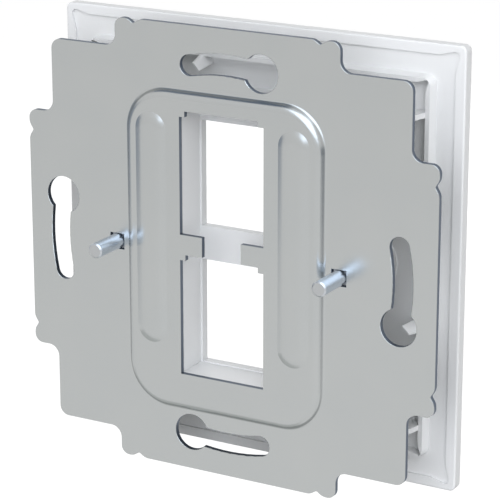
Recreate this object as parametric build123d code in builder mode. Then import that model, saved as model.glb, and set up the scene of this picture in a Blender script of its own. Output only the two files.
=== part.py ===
"""Wall plate for two data modules: a pressed steel support plate, a moulded cover and two steel pins.

Sizes are in millimetres. Seen from the room, X runs to the right and Z up, and Y runs into the wall.
The origin is the centre of the support plate, on the face that lies against the wall.
"""
import os
from math import atan2, degrees, radians, tan

from build123d import *

# Support plate: keyholes for the box screws
screw_circle = 60.0
keyhole_turn = 11.8
keyhole_slot_width = 3.3
keyhole_head_diameter = 5.9

# Support plate: outline of the sheet, which reaches past the screw circle by a margin
sheet_thickness = 0.8
screw_edge_margin = 5.5
tab_width = 38.6
tab_reach = 4.5
tab_corner_radius = 1.4
field_corner_radius = 1.6
inner_corner_radius = 1.8
notch_tab_margin = 3.3
notch_width = 3.4
notch_depth = 0.65
notch_overcut = 1.0
sheet_edge_radius = 0.08

# Support plate: raised panel and the two beads on it
panel_side_margin = 2.1
panel_screw_margin = 4.45
panel_corner_radius = 7.0
panel_rise = 1.15
panel_ramp_run = 0.66
panel_bend_radius = 1.2
panel_foot_radius = 0.5
bead_spacing = 24.8
bead_width = 5.3
bead_top_margin = 3.75
bead_bottom_margin = 10.45
bead_rise = 0.45
bead_shoulder = 1.9

# Two module windows, one above the other
window_width = 14.6
window_height = 19.4
window_centre_height = 1.5
bar_height = 3.16
bar_gap = 6.8
window_step_width = 0.95
window_step_height = 0.9

# Pins
pin_panel_margin = 2.3
pin_diameter = 2.4
pin_reach = 6.4
pin_tip_chamfer = 0.22
pin_root_depth = 10.2
square_hole_clearance = 0.05
bore_clearance = 0.03

# Cover: shell
cover_side = 69.4
cover_corner_radius = 1.0
cover_front_depth = 12.6
cover_front_edge_radius = 1.1
front_wall = 2.3
rim_width = 1.63
rim_rise = 0.4
rim_edge_radius = 0.3
rim_relief_run = 2.65
rim_relief_bulge = 0.93
rim_relief_radius = 0.8

# Cover: collar behind the edge of the support plate
gutter_width = 3.1
collar_width = 1.07
collar_draft = 0.37
collar_corner_radius = 1.6
collar_rise = 1.7
collar_relief_run = 1.4
collar_relief_bulge = 0.6
collar_relief_radius = 0.35

# Cover: recess for the modules in the front face, and the housing behind it
chamber_side_clearance = 0.63
chamber_end_clearance = 0.3
chamber_wall = 1.3
port_ledge = 0.33
port_height = 16.85
port_pitch = 22.3
port_wall = 1.4
recess_side_margin = 4.9
recess_top_margin = 0.82
recess_bottom_margin = 1.92
recess_corner_radius = 1.5
recess_floor_depth = 7.4
housing_wall = 1.0

# Cover: ribs that lean in from the collar
rib_length = 6.9
rib_lean = 1.8
rib_set_back = 2.0
rib_thickness = 0.8
rib_height = 24.45

# Cover: hooks, thin blades that run in from the collar on a slant; reaches count from its inner face
hook_root = 8.9
hook_skew = 1.0
hook_foot_reach = 1.3
hook_foot_thickness = 0.6
hook_tip_reach = 1.7
hook_tip_setback = 0.6
hook_tip_thickness = 0.3
hook_top_depth = 5.9

# Cover: bosses that grip the pins
boss_wall = 1.2
boss_foot_width = 2.3
boss_foot_rise = 0.4

# Sizes of the support plate that follow
plate_side = screw_circle + 2 * screw_edge_margin
field_side = plate_side - 2 * tab_reach
notch_spacing = tab_width - 2 * notch_tab_margin
panel_width = bead_spacing + bead_width + 2 * panel_side_margin
panel_height = screw_circle - 2 * panel_screw_margin
panel_ramp_angle = degrees(atan2(panel_ramp_run, panel_rise))
hollow_inset = sheet_thickness * tan(radians((90 - panel_ramp_angle) / 2))
hollow_mouth_radius = panel_foot_radius + sheet_thickness
bead_straight = panel_height - bead_top_margin - bead_bottom_margin - bead_width
bead_centre_height = (bead_bottom_margin - bead_top_margin) / 2
bead_flat = bead_width / 2 - bead_shoulder
window_pitch = window_height + bar_height
window_centres = [window_centre_height + side * window_pitch / 2 for side in (1, -1)]
pin_spacing = panel_width + 2 * pin_panel_margin
square_hole_side = pin_diameter + 2 * square_hole_clearance

# Sizes of the cover that follow
collar_side = cover_side - 2 * (rim_width + gutter_width)
collar_inner_side = collar_side - 2 * collar_width
chamber_width = window_width + 2 * chamber_side_clearance
chamber_height = 2 * window_height + bar_height + 2 * chamber_end_clearance
port_width = chamber_width - 2 * port_ledge
recess_width = port_width + 2 * recess_side_margin
recess_height = chamber_height + recess_top_margin + recess_bottom_margin
recess_centre_height = window_centre_height + (recess_top_margin - recess_bottom_margin) / 2
boss_diameter = pin_diameter + 2 * boss_wall
boss_foot_diameter = boss_diameter + 2 * boss_foot_width

# Depths that follow, counted from the wall
plate_front = -sheet_thickness
panel_front = panel_rise - sheet_thickness
front_face = -cover_front_depth
cover_floor = front_face + front_wall
housing_back = -recess_floor_depth + port_wall


def seen_from_wall(depth):
    """Plane square to Y at a depth: its x runs to the right for an eye on the wall side, its y is up."""
    return Plane(origin=(0, depth, 0), x_dir=(-1, 0, 0), z_dir=(0, 1, 0))


def relieved_square(side, run, bulge, tip_radius):
    """Square whose corners bulge outwards over a run on each side, as the mould leaves them."""
    half = side / 2
    start = half - run
    tip = half + bulge
    corner = [(start, half), (tip, tip), (half, start)]
    points = []
    for sign_x, sign_y in ((1, 1), (1, -1), (-1, -1), (-1, 1)):
        turned = [(sign_x * x, sign_y * y) for x, y in corner]
        points += turned if sign_x == sign_y else turned[::-1]
    with BuildSketch(mode=Mode.PRIVATE) as outline:
        with BuildLine():
            Polyline(*points, close=True)
        make_face()
        fillet(outline.vertices().group_by(SortBy.DISTANCE)[-1], tip_radius)
    add(outline.sketch)


# One notch in the edge of a tab, with its mouth on x = 0 and the sheet on the negative side
with BuildSketch() as notch:
    with BuildLine():
        flank = Spline(
            (0, -notch_width / 2), (-notch_depth, 0), (0, notch_width / 2), tangents=((0, 1), (0, 1))
        )
        Polyline(flank @ 1, (notch_overcut, notch_width / 2), (notch_overcut, -notch_width / 2), flank @ 0)
    make_face()

# One keyhole: a slot along the screw circle that ends in a hole for the screw head
with BuildSketch() as keyhole:
    with BuildLine(mode=Mode.PRIVATE) as slot_path:
        CenterArc((0, 0), screw_circle / 2, 90 - keyhole_turn, 2 * keyhole_turn)
    SlotArc(slot_path.edge(), keyhole_slot_width)
    with Locations(slot_path.edge() @ 0):
        Circle(keyhole_head_diameter / 2)

# The pair of module windows, joined where the bar between them is open
with BuildSketch() as windows:
    with Locations(*[(0, height) for height in window_centres]):
        Rectangle(window_width, window_height)
    with Locations((0, window_centre_height)):
        Rectangle(bar_gap, bar_height)
    for height in window_centres:
        top = height + window_height / 2
        for side in (-1, 1):
            with Locations((side * (window_width - window_step_width) / 2, top - window_step_height / 2)):
                Rectangle(window_step_width, window_step_height, mode=Mode.SUBTRACT)

# Half of a bead's cross-section, with the middle of the bead on x = 0 and its foot on y = 0
with BuildSketch() as half_bead:
    with BuildLine():
        shoulder_radius = (bead_shoulder**2 + bead_rise**2) / (2 * bead_rise)
        shoulder = RadiusArc((bead_flat, bead_rise), (bead_width / 2, 0), shoulder_radius)
        Polyline(shoulder @ 1, (0, 0), (0, bead_rise), shoulder @ 0)
    make_face()

# One upright bead with round ends, with its foot on y = 0
with BuildPart() as bead:
    with BuildSketch(Plane.XY.offset(-bead_straight / 2)):
        add(half_bead.sketch)
        mirror(about=Plane.YZ)
    extrude(amount=bead_straight)
    for end in (-1, 1):
        with BuildSketch(Plane.XY.offset(end * bead_straight / 2)):
            add(half_bead.sketch)
        revolve(axis=Axis((0, 0, end * bead_straight / 2), (0, 1, 0)))

# Support plate
with BuildPart() as support_plate:
    with BuildSketch(seen_from_wall(plate_front)) as sheet_outline:
        RectangleRounded(plate_side, tab_width, tab_corner_radius)
        RectangleRounded(tab_width, plate_side, tab_corner_radius)
        RectangleRounded(field_side, field_side, field_corner_radius)
        fillet(sheet_outline.vertices().group_by(SortBy.DISTANCE)[0], inner_corner_radius)
        with PolarLocations(plate_side / 2, 4):
            with Locations((0, notch_spacing / 2), (0, -notch_spacing / 2)):
                add(notch.sketch, mode=Mode.SUBTRACT)
        with PolarLocations(0, 4):
            add(keyhole.sketch, mode=Mode.SUBTRACT)
        with Locations((-pin_spacing / 2, 0), (pin_spacing / 2, 0)):
            Rectangle(square_hole_side, square_hole_side, mode=Mode.SUBTRACT)
    extrude(amount=sheet_thickness)
    fillet(support_plate.faces().sort_by(Axis.Y)[-1].edges(), sheet_edge_radius)

    # Raised panel, with the matching hollow in the other face of the sheet
    with BuildSketch(seen_from_wall(0)):
        RectangleRounded(panel_width, panel_height, panel_corner_radius)
    extrude(amount=panel_rise, taper=panel_ramp_angle)
    fillet(support_plate.edges(Select.LAST).group_by(Axis.Y)[0], panel_foot_radius)
    fillet(support_plate.faces().sort_by(Axis.Y)[-1].edges(), panel_bend_radius)
    with BuildSketch(seen_from_wall(plate_front)):
        RectangleRounded(
            panel_width - 2 * hollow_inset, panel_height - 2 * hollow_inset, panel_corner_radius - hollow_inset
        )
    extrude(amount=panel_rise, taper=panel_ramp_angle, mode=Mode.SUBTRACT)
    fillet(support_plate.edges(Select.LAST).group_by(Axis.Y)[0], hollow_mouth_radius)

    # Two beads, pressed through the raised panel
    for base, mode in ((panel_rise, Mode.ADD), (panel_front, Mode.SUBTRACT)):
        with Locations(*[(side * bead_spacing / 2, base, bead_centre_height) for side in (-1, 1)]):
            add(bead.part, mode=mode)

    with BuildSketch(seen_from_wall(plate_front)):
        add(windows.sketch)
    extrude(amount=sheet_thickness + panel_rise, mode=Mode.SUBTRACT)

# One hook of the cover, in the upper right seen from the wall
with BuildPart() as hook:
    for depth, outer, reach, thickness in (
        (cover_floor, collar_side / 2 - collar_draft, hook_foot_reach, hook_foot_thickness),
        (-hook_top_depth, collar_inner_side / 2 - hook_tip_setback, hook_tip_reach, hook_tip_thickness),
    ):
        inner = collar_inner_side / 2 - reach
        with BuildSketch(seen_from_wall(depth)):
            with BuildLine():
                Polyline(
                    (hook_root, outer),
                    (hook_root - hook_skew, inner),
                    (hook_root - hook_skew + thickness, inner),
                    (hook_root + thickness, outer),
                    close=True,
                )
            make_face()
    loft()

# Cover
with BuildPart() as cover:
    with BuildSketch(seen_from_wall(front_face)):
        RectangleRounded(cover_side, cover_side, cover_corner_radius)
    extrude(amount=front_wall + rim_rise)
    fillet(cover.faces().sort_by(Axis.Y)[0].edges(), cover_front_edge_radius)
    fillet(cover.faces().sort_by(Axis.Y)[-1].edges(), rim_edge_radius)
    with BuildSketch(seen_from_wall(cover_floor)):
        relieved_square(cover_side - 2 * rim_width, rim_relief_run, rim_relief_bulge, rim_relief_radius)
    extrude(amount=rim_rise, mode=Mode.SUBTRACT)

    # Collar, with a drafted outer face
    with BuildSketch(seen_from_wall(cover_floor)):
        RectangleRounded(collar_side, collar_side, collar_corner_radius)
    extrude(amount=collar_rise, taper=degrees(atan2(collar_draft, collar_rise)))
    with BuildSketch(seen_from_wall(cover_floor)):
        relieved_square(collar_inner_side, collar_relief_run, collar_relief_bulge, collar_relief_radius)
    extrude(amount=collar_rise, mode=Mode.SUBTRACT)

    # Housing behind the module recess, with the chamber that reaches the support plate
    with BuildSketch(seen_from_wall(cover_floor)):
        with Locations((0, recess_centre_height)):
            RectangleRounded(
                recess_width + 2 * housing_wall,
                recess_height + 2 * housing_wall,
                recess_corner_radius + housing_wall,
            )
    extrude(amount=housing_back - cover_floor)
    with BuildSketch(seen_from_wall(housing_back)):
        with Locations((0, window_centre_height)):
            Rectangle(chamber_width + 2 * chamber_wall, chamber_height + 2 * chamber_wall)
            Rectangle(chamber_width, chamber_height, mode=Mode.SUBTRACT)
    extrude(amount=panel_front - housing_back)
    with BuildSketch(seen_from_wall(front_face)):
        with Locations((0, recess_centre_height)):
            RectangleRounded(recess_width, recess_height, recess_corner_radius)
    extrude(amount=cover_front_depth - recess_floor_depth, mode=Mode.SUBTRACT)
    with BuildSketch(seen_from_wall(housing_back)):
        with Locations((0, port_pitch / 2), (0, -port_pitch / 2)):
            Rectangle(port_width, port_height)
    extrude(amount=-port_wall, mode=Mode.SUBTRACT)

    # Ribs that hold the cover off the support plate
    rib_foot = collar_inner_side / 2 - rib_length
    for side in (-1, 1):
        for height in (rib_height, -rib_height):
            with BuildSketch(Plane.XY.offset(height - rib_thickness)):
                with BuildLine():
                    Polyline(
                        (side * rib_foot, cover_floor),
                        (side * collar_inner_side / 2, cover_floor),
                        (side * collar_inner_side / 2, cover_floor + collar_rise),
                        (side * (collar_inner_side / 2 - rib_lean), plate_front),
                        (side * (rib_foot + rib_set_back), plate_front),
                        close=True,
                    )
                make_face()
            extrude(amount=rib_thickness)

    # Two hooks on each side of the collar
    for turn in (0, 90, 180, 270):
        for one_hook in (hook.part, hook.part.mirror(Plane.YZ)):
            add(one_hook.rotate(Axis.Y, turn))

    # Bosses that grip the pins
    boss_places = [(-pin_spacing / 2, 0), (pin_spacing / 2, 0)]
    with BuildSketch(seen_from_wall(cover_floor)):
        with Locations(*boss_places):
            Circle(boss_foot_diameter / 2)
    extrude(amount=boss_foot_rise)
    with BuildSketch(seen_from_wall(cover_floor)):
        with Locations(*boss_places):
            Circle(boss_diameter / 2)
    extrude(amount=plate_front - cover_floor)
    with BuildSketch(seen_from_wall(-pin_root_depth)):
        with Locations(*boss_places):
            Circle(pin_diameter / 2 + bore_clearance)
    extrude(amount=pin_root_depth + plate_front, mode=Mode.SUBTRACT)

# Pins
with BuildPart() as left_pin:
    with BuildSketch(seen_from_wall(-pin_root_depth)):
        with Locations((pin_spacing / 2, 0)):
            Circle(pin_diameter / 2)
    extrude(amount=pin_root_depth + pin_reach)
    chamfer(left_pin.faces().sort_by(Axis.Y)[-1].edges(), pin_tip_chamfer)

with BuildPart() as right_pin:
    add(left_pin.part.mirror(Plane.YZ))

os.makedirs("parts", exist_ok=True)
pieces = {
    "support_plate": support_plate.part,
    "cover": cover.part,
    "left_pin": left_pin.part,
    "right_pin": right_pin.part,
}
for name, piece in pieces.items():
    piece.label = name
    export_step(piece, f"parts/{name}.step")
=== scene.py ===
# %% [markdown]
# # A wall plate for two data modules, seen from the wall side
#
# The real object is a pressed sheet of galvanised steel that is screwed to a wall box, a white moulded
# cover that clips over it from the room side, and two bright steel pins that stand through the sheet.
# The construction model gives every piece its real size and place. This script dresses those pieces:
# it gives each one the finish that the real material has, turns the pins, and sets up a small photo studio.

import math

import bpy
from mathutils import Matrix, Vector


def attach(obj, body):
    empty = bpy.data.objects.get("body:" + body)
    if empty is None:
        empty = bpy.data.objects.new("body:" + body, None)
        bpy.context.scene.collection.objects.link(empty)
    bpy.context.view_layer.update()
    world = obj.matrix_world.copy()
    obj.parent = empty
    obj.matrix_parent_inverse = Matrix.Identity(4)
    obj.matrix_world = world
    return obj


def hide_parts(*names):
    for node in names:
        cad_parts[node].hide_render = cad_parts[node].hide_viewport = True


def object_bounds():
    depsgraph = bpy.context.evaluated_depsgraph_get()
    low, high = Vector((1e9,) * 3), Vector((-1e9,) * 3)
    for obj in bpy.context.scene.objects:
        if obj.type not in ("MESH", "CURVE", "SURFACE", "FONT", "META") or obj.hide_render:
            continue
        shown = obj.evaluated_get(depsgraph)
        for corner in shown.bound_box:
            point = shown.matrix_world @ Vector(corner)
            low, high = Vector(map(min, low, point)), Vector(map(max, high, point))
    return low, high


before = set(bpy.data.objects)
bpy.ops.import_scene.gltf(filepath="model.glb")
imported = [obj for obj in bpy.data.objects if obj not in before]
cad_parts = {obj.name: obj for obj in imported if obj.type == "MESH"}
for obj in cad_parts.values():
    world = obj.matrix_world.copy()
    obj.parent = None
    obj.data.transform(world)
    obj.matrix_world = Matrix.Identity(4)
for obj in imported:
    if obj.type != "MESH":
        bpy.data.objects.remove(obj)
cad_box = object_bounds()
mm = 0.001
print("pieces:", sorted(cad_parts))
print("size in mm:", [round((high - low) / mm, 2) for low, high in zip(*cad_box)])

# %% [markdown]
# ## The camera
#
# The photograph looks at the back of the plate from above and to one side, with a long lens: the
# plate's parallel edges hardly run together. A camera is a place, a direction and a focal length. The place
# is written in millimetres from the centre of the sheet, and `to_track_quat` turns the camera's own -Z axis
# towards the point that it looks at, with its top kept upright.

# %% Camera
camera_place = Vector((-169.7, 290.8, 104.1)) * mm
looks_at = Vector((-4.36, 0.0, 2.07)) * mm
lens_mm = 166.9

camera_data = bpy.data.cameras.new("camera")
camera_data.lens = lens_mm
camera_data.sensor_width = 36.0
camera_data.clip_start = 10 * mm
camera_data.clip_end = 20.0
camera = bpy.data.objects.new("camera", camera_data)
camera.location = camera_place
camera.rotation_mode = "QUATERNION"
camera.rotation_quaternion = (looks_at - camera_place).to_track_quat("-Z", "Y")
bpy.context.scene.collection.objects.link(camera)
bpy.context.scene.camera = camera
bpy.context.scene.view_settings.view_transform = "Standard"
print("camera distance in mm:", round((looks_at - camera_place).length / mm, 1))

# %% [markdown]
# ## Helpers for colours and nodes
#
# Colours are written as the hex values that a colour picker shows. Those are sRGB values, and Blender works
# with linear light, so one function turns one into the other. A material is a small graph of nodes, and
# `add_node` adds one node, sets it up and wires its inputs in a single call. A node tree for geometry is
# wired in the same way.


# %% Colour and node helpers
def colour(hex_value):
    """Linear RGBA for an sRGB colour such as "#c0c2c1", by the curve of the sRGB standard."""
    parts = [int(hex_value[i : i + 2], 16) / 255 for i in (1, 3, 5)]
    linear = [c / 12.92 if c <= 0.04045 else ((c + 0.055) / 1.055) ** 2.4 for c in parts]
    return (*linear, 1.0)


def add_node(tree, kind, inputs=(), **settings):
    """Adds a node. inputs maps a socket's name or number to a value or to another node's output."""
    node = tree.nodes.new(kind)
    for name, value in settings.items():
        setattr(node, name, value)
    for socket, value in dict(inputs).items():
        if isinstance(value, bpy.types.NodeSocket):
            tree.links.new(value, node.inputs[socket])
        else:
            node.inputs[socket].default_value = value
    return node


def new_material(name):
    """An empty material, its node tree and its output node."""
    material = bpy.data.materials.new(name)
    material.use_nodes = True
    material.node_tree.nodes.clear()
    output = material.node_tree.nodes.new("ShaderNodeOutputMaterial")
    return material, material.node_tree, output


print("middle grey in linear light:", round(colour("#808080")[0], 3))


# %% [markdown]
# ## Galvanised steel sheet
#
# The support plate is cold-rolled strip with a thin electroplated coat of zinc. Rolling leaves a very fine
# grain along one direction, and the zinc turns the mirror of bare steel into an even, satin grey that is a
# little cool. Real grain is a few hundredths of a millimetre wide, too fine for this picture, so it is drawn
# about a tenth of a millimetre wide. A second, soft pattern of some millimetres makes the sheen uneven, as
# handling and the plating bath do.
#
# Where the punch went through, the sheet shows its cut section, which is torn bare steel. Its grey is painted
# much darker than the rolled faces, partly for the duller bare steel and partly as painted shade along the
# cut and rolled edges. Every cut face stands square to the sheet, so its normal has no part along Y. That is
# what the mask tests, and it stays clear of the pressed slopes, whose normals lean at most 60 degrees.

# %% Sheet steel
rolling_grain_mm = 0.12
grain_stretch = 12.0  # a grain's length over its width
handling_patch_mm = 9.0
cut_face_lean = 0.10  # the normal's part along Y, up to which a face is fully cut
rolled_edge_lean = 0.40  # and from which it is fully rolled


def galvanised_sheet():
    material, tree, output = new_material("galvanised_sheet_steel")
    place = add_node(tree, "ShaderNodeTexCoord")

    # Fine grain along Z: the noise is squeezed across the grain and drawn out along it
    grain_scale = 1 / (rolling_grain_mm * mm)
    stretched = add_node(
        tree,
        "ShaderNodeMapping",
        {"Vector": place.outputs["Object"], "Scale": (grain_scale, grain_scale, grain_scale / grain_stretch)},
    )
    grain = add_node(
        tree,
        "ShaderNodeTexNoise",
        {"Vector": stretched.outputs[0], "Scale": 1.0, "Detail": 2.0, "Roughness": 0.5},
    )

    # Soft patches of some millimetres shift the grey and the sheen a little
    patches = add_node(
        tree,
        "ShaderNodeTexNoise",
        {"Vector": place.outputs["Object"], "Scale": 1 / (handling_patch_mm * mm), "Detail": 1.0},
    )
    zinc = add_node(
        tree,
        "ShaderNodeMix",
        {"Factor": patches.outputs["Fac"], "A": colour("#b1b4b4"), "B": colour("#b6b8b7")},
        data_type="RGBA",
    )
    zinc_sheen = add_node(
        tree, "ShaderNodeMapRange", {"Value": patches.outputs["Fac"], "To Min": 0.22, "To Max": 0.27}
    )

    # The cut section: torn bare steel square to the sheet, with painted shade that darkens it along the edges
    normal = add_node(tree, "ShaderNodeSeparateXYZ", {0: place.outputs["Normal"]})
    lean = add_node(tree, "ShaderNodeMath", {0: normal.outputs["Y"]}, operation="ABSOLUTE")
    cut_face_and_shade = add_node(
        tree,
        "ShaderNodeMapRange",
        {
            "Value": lean.outputs[0],
            "From Min": cut_face_lean,
            "From Max": rolled_edge_lean,
            "To Min": 1.0,
            "To Max": 0.0,
        },
    )
    # painted shade: cut faces and rolled edges take a dark blue-grey, darker than bare steel is
    grey = add_node(
        tree,
        "ShaderNodeMix",
        {"Factor": cut_face_and_shade.outputs[0], "A": zinc.outputs["Result"], "B": colour("#646d79")},
        data_type="RGBA",
    )
    sheen = add_node(
        tree,
        "ShaderNodeMix",
        {"Factor": cut_face_and_shade.outputs[0], "A": zinc_sheen.outputs[0], "B": 0.5},
        data_type="FLOAT",
    )
    bump = add_node(
        tree, "ShaderNodeBump", {"Height": grain.outputs["Fac"], "Strength": 0.04, "Distance": 0.02 * mm}
    )
    steel = add_node(
        tree,
        "ShaderNodeBsdfPrincipled",
        {
            "Base Color": grey.outputs["Result"],
            "Metallic": 1.0,
            "Roughness": sheen.outputs["Result"],
            "Normal": bump.outputs["Normal"],
        },
    )
    tree.links.new(steel.outputs[0], output.inputs["Surface"])
    return material


sheet_steel = galvanised_sheet()
print("made", sheet_steel.name)

# %% [markdown]
# ## White moulded cover
#
# The cover is injection-moulded ABS, a hard plastic whose white pigment scatters light just under the skin.
# Its inside comes from the plain half of the mould, which leaves a satin face with a very fine, even
# texture. A dielectric reflects only a few percent of the light, so the body is bright and the shine weak.
# The melt cools unevenly, so the white drifts by a shade over some centimetres.

# %% Moulded ABS
mould_texture_mm = 0.25
melt_flow_mm = 25.0


def moulded_abs():
    material, tree, output = new_material("moulded_white_abs")
    place = add_node(tree, "ShaderNodeTexCoord")
    flow = add_node(
        tree,
        "ShaderNodeTexNoise",
        {"Vector": place.outputs["Object"], "Scale": 1 / (melt_flow_mm * mm), "Detail": 1.0},
    )
    white = add_node(
        tree,
        "ShaderNodeMix",
        {"Factor": flow.outputs["Fac"], "A": colour("#dcdddd"), "B": colour("#e1e2e2")},
        data_type="RGBA",
    )
    texture = add_node(
        tree,
        "ShaderNodeTexNoise",
        {"Vector": place.outputs["Object"], "Scale": 1 / (mould_texture_mm * mm), "Detail": 2.0},
    )
    sheen = add_node(
        tree, "ShaderNodeMapRange", {"Value": texture.outputs["Fac"], "To Min": 0.30, "To Max": 0.38}
    )
    bump = add_node(
        tree, "ShaderNodeBump", {"Height": texture.outputs["Fac"], "Strength": 0.05, "Distance": 0.02 * mm}
    )
    plastic = add_node(
        tree,
        "ShaderNodeBsdfPrincipled",
        {
            "Base Color": white.outputs["Result"],
            "Roughness": sheen.outputs["Result"],
            "IOR": 1.53,
            "Normal": bump.outputs["Normal"],
        },
    )
    tree.links.new(plastic.outputs[0], output.inputs["Surface"])
    return material


cover_plastic = moulded_abs()
print("made", cover_plastic.name)

# %% [markdown]
# ## Bright turned steel
#
# The pins are drawn and turned from free-cutting steel and bright plated. Turning leaves fine rings round
# the pin, which spread a highlight along its length. The rings follow the distance along the pin, so a wave
# texture on the Y axis draws them. Real rings are about a tenth of a millimetre apart, too fine for this
# picture, so they are drawn wider. At scale 1 the texture's wave turns by 20 radians in one unit of length,
# and a full turn is one ring, which gives the scale.
#
# The plating is brightest on the round side. The end face was cut off and is duller, and its grey is
# painted darker still as painted shade, so that the tip shows less of the bright studio. A mask on the
# normal's part along Y mixes the two.

# %% Turned steel
turning_ring_mm = 0.63
wave_radians_per_unit = 20


def turned_steel():
    material, tree, output = new_material("bright_turned_steel")
    place = add_node(tree, "ShaderNodeTexCoord")
    rings = add_node(
        tree,
        "ShaderNodeTexWave",
        {
            "Vector": place.outputs["Object"],
            "Scale": math.tau / wave_radians_per_unit / (turning_ring_mm * mm),
            "Distortion": 0.4,
        },
        bands_direction="Y",
    )
    normal = add_node(tree, "ShaderNodeSeparateXYZ", {0: place.outputs["Normal"]})
    end_face_and_shade = add_node(tree, "ShaderNodeMath", {0: normal.outputs["Y"]}, operation="ABSOLUTE")
    # painted shade: the end face and chamfer take a darker grey than the round side
    plating = add_node(
        tree,
        "ShaderNodeMix",
        {"Factor": end_face_and_shade.outputs[0], "A": colour("#d6dee8"), "B": colour("#b2b4b5")},
        data_type="RGBA",
    )
    bump = add_node(
        tree, "ShaderNodeBump", {"Height": rings.outputs["Fac"], "Strength": 0.10, "Distance": 0.01 * mm}
    )
    steel = add_node(
        tree,
        "ShaderNodeBsdfPrincipled",
        {
            "Base Color": plating.outputs["Result"],
            "Metallic": 1.0,
            "Roughness": 0.32,
            "Normal": bump.outputs["Normal"],
        },
    )
    tree.links.new(steel.outputs[0], output.inputs["Surface"])
    return material


pin_steel = turned_steel()
print("made", pin_steel.name)

# %% [markdown]
# The support plate and the cover keep the construction model's own form, which already has every bend,
# hole, rib and hook. Only their finish is new: each material goes into the slots of its piece.

# %% Finishes on the sheet and the cover
for name, finish in {"support_plate": sheet_steel, "cover": cover_plastic}.items():
    for piece_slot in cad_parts[name].material_slots:
        piece_slot.material = finish
    print(name, "takes", finish.name)

# %% [markdown]
# ## The pins
#
# A turned pin follows a rule: it is one half-section swung round its axis. Here the half-section is a short
# line of points along Y, one for each place where the radius changes, and the sweep of a circle along
# that line, scaled by the radius at each point, turns the pin. Both pins are instances of the same turning,
# set side by side at the plate's two square holes. The tree's inputs carry the sizes, so one number changes
# both pins.

# %% Geometry Nodes tree that turns the pins
pin_sizes = {
    "Spacing": 38.9 * mm,
    "Diameter": 2.4 * mm,
    "Reach": 6.4 * mm,
    "Root Depth": 10.2 * mm,
    "Chamfer": 0.22 * mm,
}
pin_facets = 96
sharp_edge_degrees = 25.0


def turned_pins_tree(finish):
    """Node tree for the pair of pins, and the identifier of each named input."""
    tree = bpy.data.node_groups.new("turned_pins", "GeometryNodeTree")
    tree.is_modifier = True
    identifiers = {}
    for name in pin_sizes:
        socket = tree.interface.new_socket(name, in_out="INPUT", socket_type="NodeSocketFloat")
        identifiers[name] = socket.identifier
    tree.interface.new_socket("Geometry", in_out="OUTPUT", socket_type="NodeSocketGeometry")
    sizes = add_node(tree, "NodeGroupInput").outputs

    def maths(operation, first, second):
        return add_node(tree, "ShaderNodeMath", {0: first, 1: second}, operation=operation).outputs[0]

    def one_for_each_point(values):
        """Gives each point of the half-section its own value. A new switch has room for two."""
        switch = add_node(tree, "GeometryNodeIndexSwitch", {"Index": index}, data_type="FLOAT")
        for _ in values[2:]:
            switch.index_switch_items.new()
        for number, value in enumerate(values, start=1):
            tree.links.new(value, switch.inputs[number])
        return switch.outputs[0]

    # The half-section: root, start of the chamfer, tip
    index = add_node(tree, "GeometryNodeInputIndex").outputs[0]
    radius = maths("MULTIPLY", sizes["Diameter"], 0.5)
    root = maths("MULTIPLY", sizes["Root Depth"], -1.0)
    chamfer_start = maths("SUBTRACT", sizes["Reach"], sizes["Chamfer"])
    tip_radius = maths("SUBTRACT", radius, sizes["Chamfer"])
    along = one_for_each_point([root, chamfer_start, sizes["Reach"]])
    radii = one_for_each_point([radius, radius, tip_radius])
    points = add_node(tree, "GeometryNodeMeshLine", {"Count": 3, "Offset": (0.0, mm, 0.0)})
    spot = add_node(tree, "ShaderNodeCombineXYZ", {"Y": along})
    placed = add_node(
        tree, "GeometryNodeSetPosition", {"Geometry": points.outputs[0], "Position": spot.outputs[0]}
    )
    axis = add_node(tree, "GeometryNodeMeshToCurve", {"Mesh": placed.outputs[0]})

    # A circle of unit radius swept along the axis, scaled to the radius at each point
    circle = add_node(tree, "GeometryNodeCurvePrimitiveCircle", {"Resolution": pin_facets, "Radius": 1.0})
    pin = add_node(
        tree,
        "GeometryNodeCurveToMesh",
        {"Curve": axis.outputs[0], "Profile Curve": circle.outputs[0], "Scale": radii, "Fill Caps": True},
    )

    # Smooth round the pin, and sharp where the chamfer begins and ends
    angle = add_node(tree, "GeometryNodeInputMeshEdgeAngle").outputs[0]
    sharp = add_node(
        tree, "FunctionNodeCompare", {0: angle, 1: math.radians(sharp_edge_degrees)}, operation="GREATER_THAN"
    )
    creased = add_node(
        tree,
        "GeometryNodeSetShadeSmooth",
        {"Geometry": pin.outputs[0], "Selection": sharp.outputs[0], "Shade Smooth": False},
        domain="EDGE",
    )

    # One pin at each end of a line across the plate
    half = maths("MULTIPLY", sizes["Spacing"], 0.5)
    minus_half = maths("MULTIPLY", half, -1.0)
    left_end = add_node(tree, "ShaderNodeCombineXYZ", {"X": minus_half})
    right_end = add_node(tree, "ShaderNodeCombineXYZ", {"X": half})
    ends = add_node(
        tree,
        "GeometryNodeMeshLine",
        {"Count": 2, "Start Location": left_end.outputs[0], "Offset": right_end.outputs[0]},
        mode="END_POINTS",
    )
    pair = add_node(
        tree, "GeometryNodeInstanceOnPoints", {"Points": ends.outputs[0], "Instance": creased.outputs[0]}
    )
    real = add_node(tree, "GeometryNodeRealizeInstances", {"Geometry": pair.outputs[0]})
    finished = add_node(tree, "GeometryNodeSetMaterial", {"Geometry": real.outputs[0], "Material": finish})
    add_node(tree, "NodeGroupOutput", {0: finished.outputs[0]})
    return tree, identifiers


# %% [markdown]
# The tree runs on an empty mesh, and the result is read back as a plain mesh, so that nothing is left to
# work out later. A closed mesh whose faces look outward has a positive volume, and the sum of the small
# pyramids between each face and the origin gives it.

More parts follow.
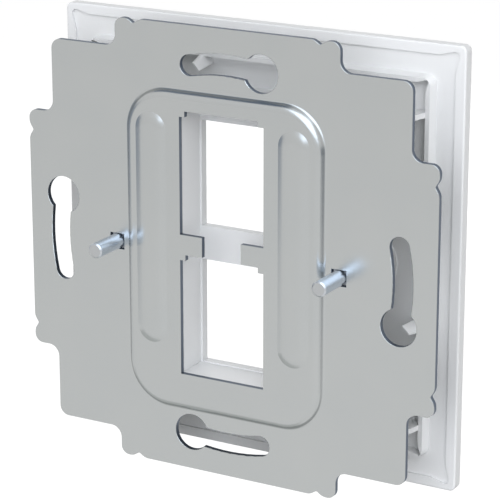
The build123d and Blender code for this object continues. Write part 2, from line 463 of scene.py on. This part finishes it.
# %% Turn the pins
tree, identifiers = turned_pins_tree(pin_steel)
blank = bpy.data.objects.new("pin_blank", bpy.data.meshes.new("pin_blank"))
bpy.context.scene.collection.objects.link(blank)
turning = blank.modifiers.new("turning", "NODES")
turning.node_group = tree
for name, size in pin_sizes.items():
    turning[identifiers[name]] = size
evaluated = blank.evaluated_get(bpy.context.evaluated_depsgraph_get())
pins_mesh = bpy.data.meshes.new_from_object(evaluated)
blank.modifiers.remove(turning)
bpy.data.objects.remove(blank)

pins = bpy.data.objects.new("pins", pins_mesh)
bpy.context.scene.collection.objects.link(pins)
volume = 0.0
pins_mesh.calc_loop_triangles()
for triangle in pins_mesh.loop_triangles:
    a, b, c = (pins_mesh.vertices[i].co for i in triangle.vertices)
    volume += a.dot(b.cross(c)) / 6
print("pins:", len(pins_mesh.polygons), "faces, volume in cubic mm:", round(volume / mm**3, 2))
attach(pins, "root")
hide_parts("left_pin", "right_pin")

# %% [markdown]
# ## The studio
#
# The photograph has a pure white background and soft light from the upper right. The world is white to the
# camera, to reflections and through glass, and a plain dimmer white to everything else, so that steel shows
# the white studio and the moulding is not flooded with light. A Light Path node tells which kind of ray asks.

# %% World
studio_white = "#ffffff"
world_light = 0.25


def seen_directly(tree):
    """1 where a camera, glossy or transmission ray asks, 0 for all other light."""
    path = add_node(tree, "ShaderNodeLightPath").outputs
    either = add_node(
        tree, "ShaderNodeMath", {0: path["Is Camera Ray"], 1: path["Is Glossy Ray"]}, operation="MAXIMUM"
    )
    any_of_them = add_node(
        tree, "ShaderNodeMath", {0: either.outputs[0], 1: path["Is Transmission Ray"]}, operation="MAXIMUM"
    )
    return any_of_them.outputs[0]


def studio_world():
    world = bpy.data.worlds.new("studio")
    world.use_nodes = True
    tree = world.node_tree
    tree.nodes.clear()
    lit = add_node(tree, "ShaderNodeBackground", {"Color": colour(studio_white), "Strength": world_light})
    white = add_node(tree, "ShaderNodeBackground", {"Color": colour(studio_white), "Strength": 1.0})
    both = add_node(
        tree, "ShaderNodeMixShader", {0: seen_directly(tree), 1: lit.outputs[0], 2: white.outputs[0]}
    )
    add_node(tree, "ShaderNodeOutputWorld", {"Surface": both.outputs[0]})
    return world


bpy.context.scene.world = studio_world()
print("the world lights the moulding with", world_light, "of full white")

# %% [markdown]
# ## The floor
#
# The floor lies well below the plate, which hangs as if on its wall, and it keeps the plate's shadow. Its
# paint is a dark grey that catches little of the lamps' light. To the camera and to steel it also glows
# nearly white, and the paint adds the rest, so that the background is an even white.

# %% Floor
floor_drop = 150 * mm
floor_half = 2.0
floor_glow = 0.97


def flat_sheet(name, corners, material):
    """A four-cornered sheet of the studio, which isn't part of the object."""
    mesh = bpy.data.meshes.new(name)
    mesh.from_pydata(corners, [], [(0, 1, 2, 3)])
    mesh.materials.append(material)
    sheet = bpy.data.objects.new(name, mesh)
    bpy.context.scene.collection.objects.link(sheet)
    return sheet


def floor_finish():
    material, tree, output = new_material("white_studio_floor")
    paint = add_node(tree, "ShaderNodeBsdfDiffuse", {"Color": colour("#5c5c5c")})
    glow = add_node(tree, "ShaderNodeEmission", {"Color": colour(studio_white), "Strength": floor_glow})
    dark = add_node(tree, "ShaderNodeEmission", {"Strength": 0.0})
    extra = add_node(
        tree, "ShaderNodeMixShader", {0: seen_directly(tree), 1: dark.outputs[0], 2: glow.outputs[0]}
    )
    both = add_node(tree, "ShaderNodeAddShader", {0: paint.outputs[0], 1: extra.outputs[0]})
    tree.links.new(both.outputs[0], output.inputs["Surface"])
    return material


square = ((-1, -1), (1, -1), (1, 1), (-1, 1))
floor_height = cad_box[0].z - floor_drop
floor_corners = [(x * floor_half, y * floor_half, floor_height) for x, y in square]
flat_sheet("studio_floor", floor_corners, floor_finish())
print("floor height in mm:", round(floor_height / mm, 1))

# %% [markdown]
# ## The lamps
#
# A white moulding shows how much light falls on each face, so its light is soft and comes from several
# large lamps on the wall side: one high and to the right, one nearly level, one well to the right and a
# weaker one to the left. One more lights the plain front. The lamps don't show in reflections.

# %% Lamps
# Azimuth and elevation in degrees, distance and side in metres, power in watts, and tint
lamps = {
    "high_lamp": (208, 42, 0.6, 0.7, 1.6, "#f4f7ff"),
    "level_lamp": (200, 12, 0.6, 0.7, 2.5, "#f7f9ff"),
    "side_lamp": (250, 10, 0.6, 0.7, 2.1, "#ffffff"),
    "fill_lamp": (150, 25, 0.6, 0.7, 1.4, "#ffffff"),
    "front_lamp": (12, 8, 0.9, 0.4, 5.8, "#ffffff"),
}


def direction(azimuth, elevation):
    """Unit vector from the object. Azimuth 0 is in front of the room side, 180 faces the wall side."""
    a, e = math.radians(azimuth), math.radians(elevation)
    return Vector((math.sin(a) * math.cos(e), -math.cos(a) * math.cos(e), math.sin(e)))


def soft_lamp(name, towards, distance, side, watts, tint):
    """A square studio lamp that faces the object's centre."""
    data = bpy.data.lights.new(name, "AREA")
    data.shape = "SQUARE"
    data.size = side
    data.energy = watts
    data.color = colour(tint)[:3]
    lamp = bpy.data.objects.new(name, data)
    lamp.location = towards * distance
    lamp.rotation_mode = "QUATERNION"
    lamp.rotation_quaternion = (-towards).to_track_quat("-Z", "Y")
    lamp.visible_glossy = False
    bpy.context.scene.collection.objects.link(lamp)


for name, (azimuth, elevation, distance, side, watts, tint) in lamps.items():
    soft_lamp(name, direction(azimuth, elevation), distance, side, watts, tint)
print("lamps:", list(lamps))

# %% [markdown]
# ## The cards
#
# Bright metal shows whatever stands round it, so the steel has its own set. A white card where the high
# lamp is draws the bright rims on the pressed edges and along the pins. Grey cards to the sides, above and
# below draw the darker lines where the sheet bends away from the camera. The cards show in nothing but
# reflections, so they light nothing and cast no shadow.

# %% Cards
# The way to the card from the object, distance and side in metres, tone, and strength
cards = {
    "white_card": (direction(208, 42), 0.6, 0.7, "#e8f2ff", 3.0),
    "top_card": (Vector((0.47, -0.10, 0.87)), 0.7, 0.5, "#76859a", 1.0),
    "left_card": (Vector((0.94, 0.14, -0.22)), 0.7, 0.6, "#a9b3c0", 1.0),
    "low_card": (Vector((0.48, 0.0, -0.88)), 0.16, 0.18, "#e0e3e2", 1.0),
    "right_card": (Vector((-0.93, 0.05, -0.30)), 0.7, 0.5, "#a0a6ae", 1.0),
}


def reflected_card(name, towards, distance, side, tone, strength):
    """A square card that faces the object's centre and shows only in reflections."""
    material, tree, output = new_material(name + "_paper")
    paper = add_node(tree, "ShaderNodeEmission", {"Color": colour(tone), "Strength": strength})
    tree.links.new(paper.outputs[0], output.inputs["Surface"])
    turn = towards.to_track_quat("Z", "Y")
    corners = [towards * distance + turn @ Vector((x * side / 2, y * side / 2, 0.0)) for x, y in square]
    card = flat_sheet(name, corners, material)
    card.visible_camera = False
    card.visible_diffuse = False
    card.visible_transmission = False
    card.visible_shadow = False


for name, (towards, distance, side, tone, strength) in cards.items():
    reflected_card(name, towards.normalized(), distance, side, tone, strength)
print("cards:", list(cards))
